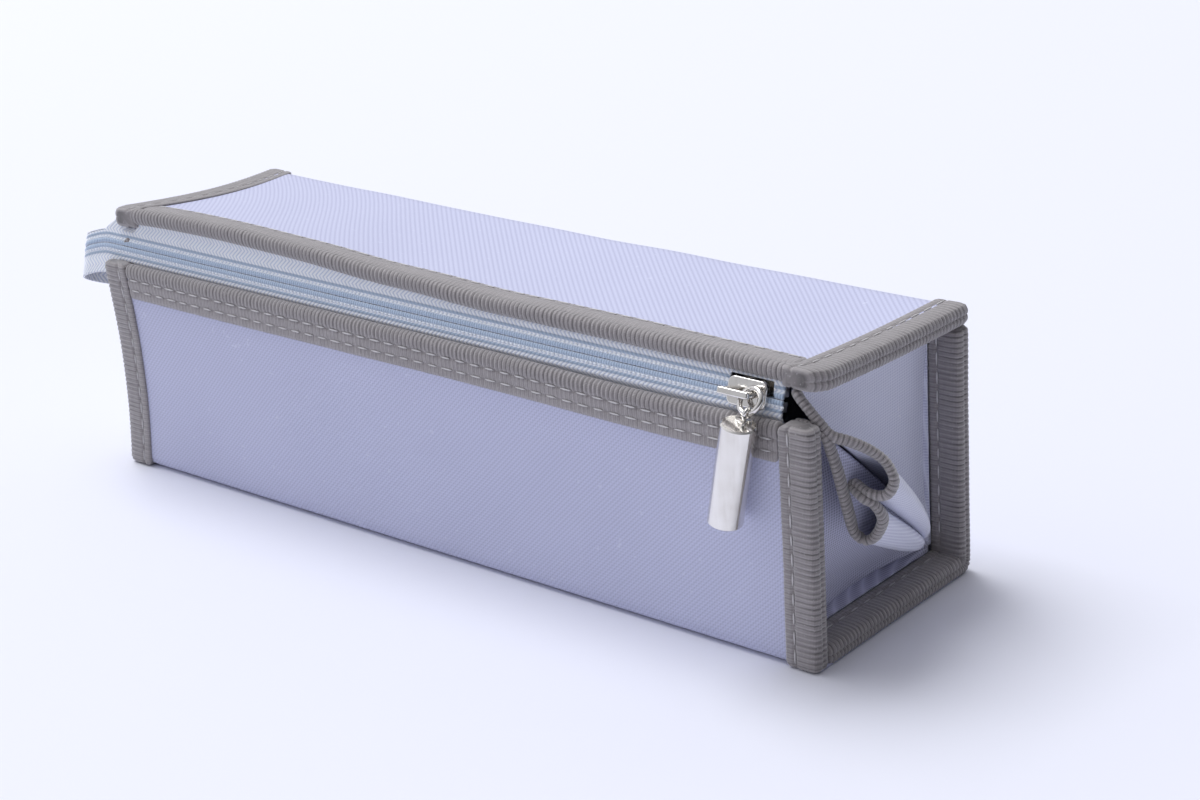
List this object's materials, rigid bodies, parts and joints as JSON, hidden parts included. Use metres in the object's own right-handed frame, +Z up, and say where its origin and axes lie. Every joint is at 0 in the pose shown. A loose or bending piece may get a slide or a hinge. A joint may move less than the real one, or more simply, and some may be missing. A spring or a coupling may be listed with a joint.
{
  "type": "zippered box pouch",
  "caption": "Soft box-shaped pouch: stiffened mesh panels, bound end seams, fan gussets and a zipper along the top front edge; the lid and back fold open about the bottom back edge.",
  "frame": {"origin": "on the floor, under the middle of the body", "axes": "+X along the pouch to the end where the closed zipper's slider sits, -Y out of the front face, +Z up"},
  "size_m": [0.2228, 0.0629, 0.0606],
  "materials": {
    "cover_cloth": "pale lavender woven cloth",
    "gusset_mesh": "pale lavender fine mesh",
    "lining_cloth": "pale lining cloth",
    "stiffener_board": "white plastic sheet",
    "grosgrain_binding": "warm grey ribbed tape",
    "zipper_tape": "pale blue twill tape",
    "zipper_coil": "blue-grey nylon",
    "plated_metal": "polished nickel"
  },
  "bodies": {
    "lower_half": {"bottom_cover": "cover_cloth", "front_cover": "cover_cloth", "bottom_board": "stiffener_board", "front_board": "stiffener_board", "bottom_lining": "lining_cloth", "front_lining": "lining_cloth", "front_rim_binding": "grosgrain_binding", "right_front_seam_binding": "grosgrain_binding", "left_front_seam_binding": "grosgrain_binding", "right_bottom_seam_binding": "grosgrain_binding", "left_bottom_seam_binding": "grosgrain_binding", "right_gusset_lower": "gusset_mesh", "left_gusset_lower": "gusset_mesh", "right_front_gusset_fold": "gusset_mesh", "left_front_gusset_fold": "gusset_mesh", "right_front_fold_binding": "grosgrain_binding", "left_front_fold_binding": "grosgrain_binding", "front_zip_tape": "zipper_tape", "front_zip_coil": "zipper_coil", "front_zip_top_stop": "plated_metal", "front_zip_tail": "zipper_tape", "zip_bottom_stop": "plated_metal", "hinge_cover": "cover_cloth", "hinge_lining": "lining_cloth"},
    "upper_half": {"back_cover": "cover_cloth", "lid_cover": "cover_cloth", "back_board": "stiffener_board", "lid_board": "stiffener_board", "back_lining": "lining_cloth", "lid_lining": "lining_cloth", "lid_rim_binding": "grosgrain_binding", "right_back_seam_binding": "grosgrain_binding", "left_back_seam_binding": "grosgrain_binding", "right_lid_seam_binding": "grosgrain_binding", "left_lid_seam_binding": "grosgrain_binding", "right_gusset_upper": "gusset_mesh", "left_gusset_upper": "gusset_mesh", "right_lid_gusset_fold": "gusset_mesh", "left_lid_gusset_fold": "gusset_mesh", "right_lid_fold_binding": "grosgrain_binding", "left_lid_fold_binding": "grosgrain_binding", "lid_zip_tape": "zipper_tape", "lid_zip_coil": "zipper_coil", "lid_zip_top_stop": "plated_metal", "lid_zip_tail": "zipper_tape"},
    "slider": {"slider_body": "plated_metal", "slider_bridge": "plated_metal"},
    "pull_ring": {"pull_ring": "plated_metal"},
    "pendant": {"pendant_eye": "plated_metal", "pendant_body": "plated_metal"}
  },
  "joints": [
    {"name": "lid_hinge", "type": "hinge", "parent": "lower_half", "child": "upper_half", "pos_m": [0, 0.02775, 0], "axis": [-1, 0, 0], "range_deg": [0, 45], "deforming": ["right_front_gusset_fold", "left_front_gusset_fold", "right_front_fold_binding", "left_front_fold_binding", "hinge_cover", "hinge_lining", "right_lid_gusset_fold", "left_lid_gusset_fold", "right_lid_fold_binding", "left_lid_fold_binding"]},
    {"name": "slider_travel", "type": "slide", "parent": "lower_half", "child": "slider", "axis": [-1, 0, 0], "range_m": [0, 0.17]},
    {"name": "ring_swing", "type": "hinge", "parent": "slider", "child": "pull_ring", "pos_m": [0.0862, -0.02682, 0.0546], "axis": [0, -1, 0], "range_deg": [-30, 24]},
    {"name": "pendant_lift", "type": "hinge", "parent": "pull_ring", "child": "pendant", "pos_m": [0.08693, -0.02904, 0.05186], "axis": [-1, 0, 0], "range_deg": [0, 60]}
  ]
}
